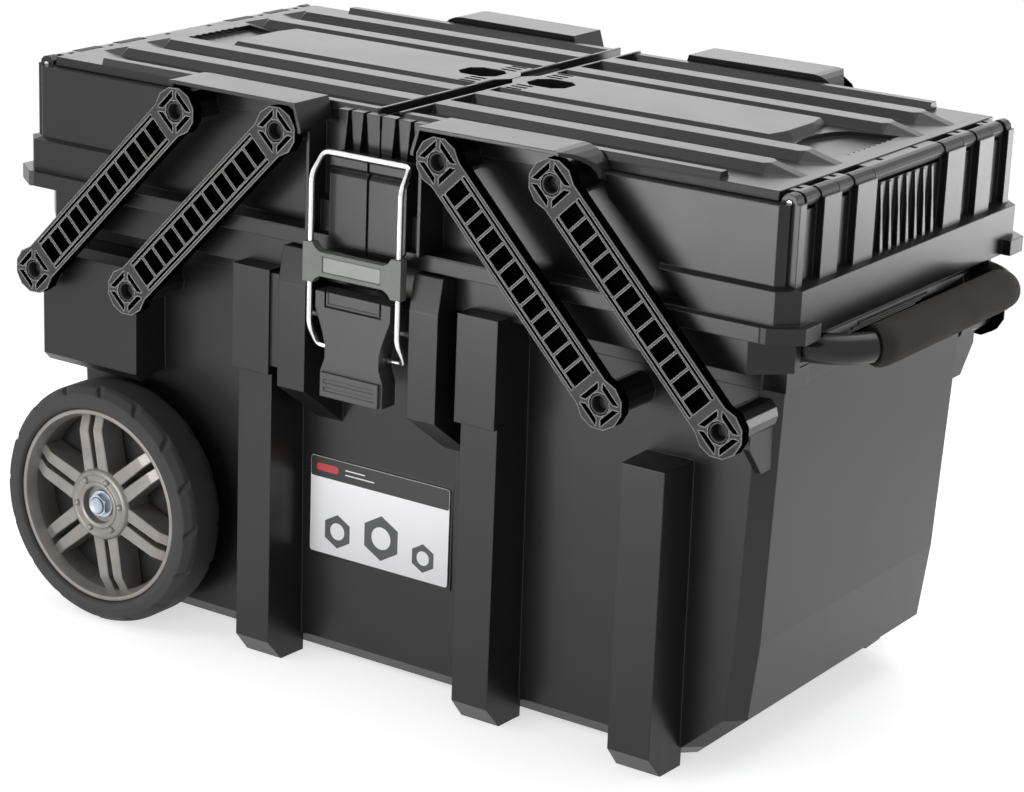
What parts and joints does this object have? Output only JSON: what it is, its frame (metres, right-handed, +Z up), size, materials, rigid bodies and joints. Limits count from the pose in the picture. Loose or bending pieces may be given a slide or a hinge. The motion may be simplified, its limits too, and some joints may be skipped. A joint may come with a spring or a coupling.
{
  "type": "wheeled cantilever tool chest",
  "caption": "Rolling plastic tool chest: open base bin on wheels, lidded trays on cantilever arms, wire bail latch and telescopic pull handle.",
  "frame": {"origin": "centre of the footprint of the whole part, on the floor", "axes": "+X along the chest towards the pull handle, +Y to the back, +Z up; the latch side faces -Y"},
  "size_m": [0.6754, 0.3744, 0.4115],
  "materials": {
    "chest_plastic": "satin moulded",
    "arm_plastic": "fine grain",
    "tyre_rubber": "matte",
    "hub_plastic": "satin",
    "pin_steel": "turned ends",
    "pin_plastic": "fine grain",
    "nut_zinc": "zinc plated",
    "wire_zinc": "bright plated",
    "tube_black": "satin black",
    "foam_black": "matte foam",
    "bridge_grey": "matte",
    "lever_grey": "satin",
    "label_film": "semi gloss print"
  },
  "bodies": {
    "base": {"base_bin": "chest_plastic", "handle_guide_front": "chest_plastic", "handle_guide_back": "chest_plastic", "sticker_plate": "label_film", "wheel_axle": "pin_steel", "latch_pin": "pin_steel", "wheel_nut_front": "nut_zinc", "wheel_nut_back": "nut_zinc", "left_outer_low_pin_front": "pin_plastic", "left_outer_low_pin_back": "pin_plastic", "left_inner_low_pin_front": "pin_plastic", "left_inner_low_pin_back": "pin_plastic", "right_outer_low_pin_front": "pin_plastic", "right_outer_low_pin_back": "pin_plastic", "right_inner_low_pin_front": "pin_plastic", "right_inner_low_pin_back": "pin_plastic"},
    "wheel_front": {"tyre_front": "tyre_rubber", "hub_front": "hub_plastic"},
    "wheel_back": {"tyre_back": "tyre_rubber", "hub_back": "hub_plastic"},
    "handle": {"handle_tube": "tube_black", "handle_grip": "foam_black"},
    "latch_lever": {"latch_lever": "lever_grey"},
    "latch_bail": {"latch_bail": "wire_zinc", "latch_bridge": "bridge_grey"},
    "left_tray": {"left_tray": "chest_plastic", "left_outer_top_pin_front": "pin_plastic", "left_outer_top_pin_back": "pin_plastic", "left_inner_top_pin_front": "pin_plastic", "left_inner_top_pin_back": "pin_plastic"},
    "left_lid": {"left_lid": "chest_plastic", "left_lid_pin": "pin_steel"},
    "left_outer_arms": {"left_outer_arm_front": "arm_plastic", "left_outer_arm_back": "arm_plastic"},
    "left_inner_arms": {"left_inner_arm_front": "arm_plastic", "left_inner_arm_back": "arm_plastic"},
    "right_tray": {"right_tray": "chest_plastic", "right_outer_top_pin_front": "pin_plastic", "right_outer_top_pin_back": "pin_plastic", "right_inner_top_pin_front": "pin_plastic", "right_inner_top_pin_back": "pin_plastic"},
    "right_lid": {"right_lid": "chest_plastic", "right_lid_pin": "pin_steel"},
    "right_outer_arms": {"right_outer_arm_front": "arm_plastic", "right_outer_arm_back": "arm_plastic"},
    "right_inner_arms": {"right_inner_arm_front": "arm_plastic", "right_inner_arm_back": "arm_plastic"}
  },
  "joints": [
    {"name": "wheel_front_spin", "type": "hinge", "parent": "base", "child": "wheel_front", "pos_m": [-0.24215, -0.1661, 0.0887], "axis": [0, 1, 0], "continuous": true},
    {"name": "wheel_back_spin", "type": "hinge", "parent": "base", "child": "wheel_back", "pos_m": [-0.24215, 0.1661, 0.0887], "axis": [0, 1, 0], "continuous": true},
    {"name": "handle_slide", "type": "slide", "parent": "base", "child": "handle", "axis": [1, 0, 0], "range_m": [0, 0.39]},
    {"name": "latch_lever_turn", "type": "hinge", "parent": "base", "child": "latch_lever", "pos_m": [-0.01525, -0.176, 0.268], "axis": [-1, 0, 0], "range_deg": [0, 100]},
    {"name": "latch_bail_turn", "type": "hinge", "parent": "latch_lever", "child": "latch_bail", "pos_m": [-0.01525, -0.1745, 0.246], "axis": [1, 0, 0], "range_deg": [0, 125]},
    {"name": "left_outer_arms_swing", "type": "hinge", "parent": "base", "child": "left_outer_arms", "pos_m": [-0.29875, 0, 0.2551], "axis": [0, -1, 0], "range_deg": [0, 88]},
    {"name": "left_inner_arms_swing", "type": "hinge", "parent": "base", "child": "left_inner_arms", "pos_m": [-0.21175, 0, 0.2551], "axis": [0, -1, 0], "range_deg": [0, 88]},
    {"name": "left_tray_level", "type": "hinge", "parent": "left_outer_arms", "child": "left_tray", "pos_m": [-0.16845, 0, 0.3897], "axis": [0, -1, 0], "range_deg": [-88, 0]},
    {"name": "left_lid_hinge", "type": "hinge", "parent": "left_tray", "child": "left_lid", "pos_m": [-0.31785, 0, 0.3964], "axis": [0, -1, 0], "range_deg": [0, 105]},
    {"name": "right_outer_arms_swing", "type": "hinge", "parent": "base", "child": "right_outer_arms", "pos_m": [0.26825, 0, 0.2551], "axis": [0, 1, 0], "range_deg": [0, 88]},
    {"name": "right_inner_arms_swing", "type": "hinge", "parent": "base", "child": "right_inner_arms", "pos_m": [0.18125, 0, 0.2551], "axis": [0, 1, 0], "range_deg": [0, 88]},
    {"name": "right_tray_level", "type": "hinge", "parent": "right_outer_arms", "child": "right_tray", "pos_m": [0.13795, 0, 0.3897], "axis": [0, 1, 0], "range_deg": [-88, 0]},
    {"name": "right_lid_hinge", "type": "hinge", "parent": "right_tray", "child": "right_lid", "pos_m": [0.28735, 0, 0.3964], "axis": [0, 1, 0], "range_deg": [0, 105]}
  ],
  "couplings": [
    {"joint": "latch_bail_turn", "follows": "latch_lever_turn", "ratio": 1.25},
    {"joint": "left_inner_arms_swing", "follows": "left_outer_arms_swing", "ratio": 1},
    {"joint": "left_tray_level", "follows": "left_outer_arms_swing", "ratio": -1},
    {"joint": "right_inner_arms_swing", "follows": "right_outer_arms_swing", "ratio": 1},
    {"joint": "right_tray_level", "follows": "right_outer_arms_swing", "ratio": -1}
  ]
}
